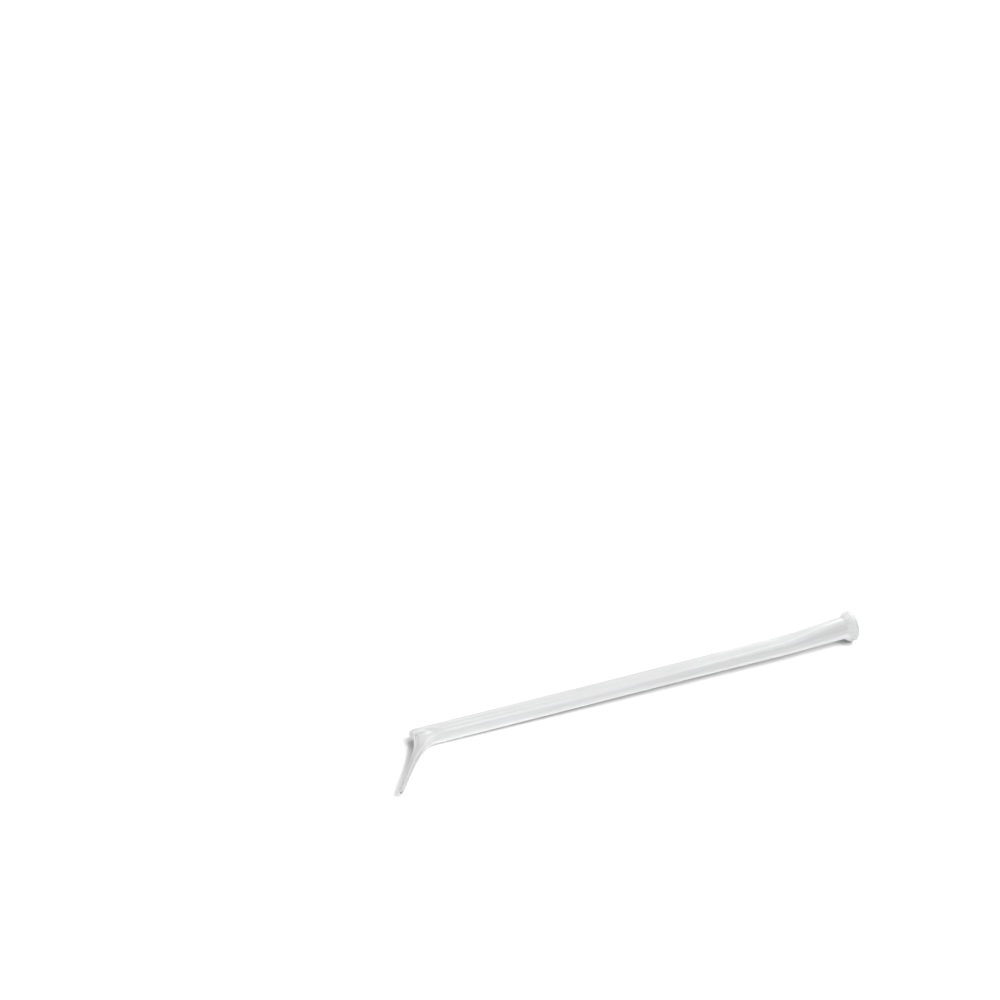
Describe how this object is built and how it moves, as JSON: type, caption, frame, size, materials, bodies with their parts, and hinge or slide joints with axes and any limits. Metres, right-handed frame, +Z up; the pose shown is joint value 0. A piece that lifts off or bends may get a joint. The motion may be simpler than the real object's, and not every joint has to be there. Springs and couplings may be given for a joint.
{
  "type": "dropper pipette",
  "caption": "Single-use dropper pipette: a flattened polyethylene tube with a flanged open mouth and a fine drawn tip bent to one side.",
  "frame": {"origin": "on the surface it lies on, under the middle of its bounding box", "axes": "+X along the body from the bend to the flanged mouth, +Z up, and the drawn tip turns towards -Y"},
  "size_m": [0.1376, 0.0254, 0.0082],
  "materials": {
    "translucent_polyethylene": "milky translucent low-density polyethylene with a soft, waxy sheen"
  },
  "bodies": {
    "root": {"pipette_tube": "translucent_polyethylene"}
  },
  "joints": []
}
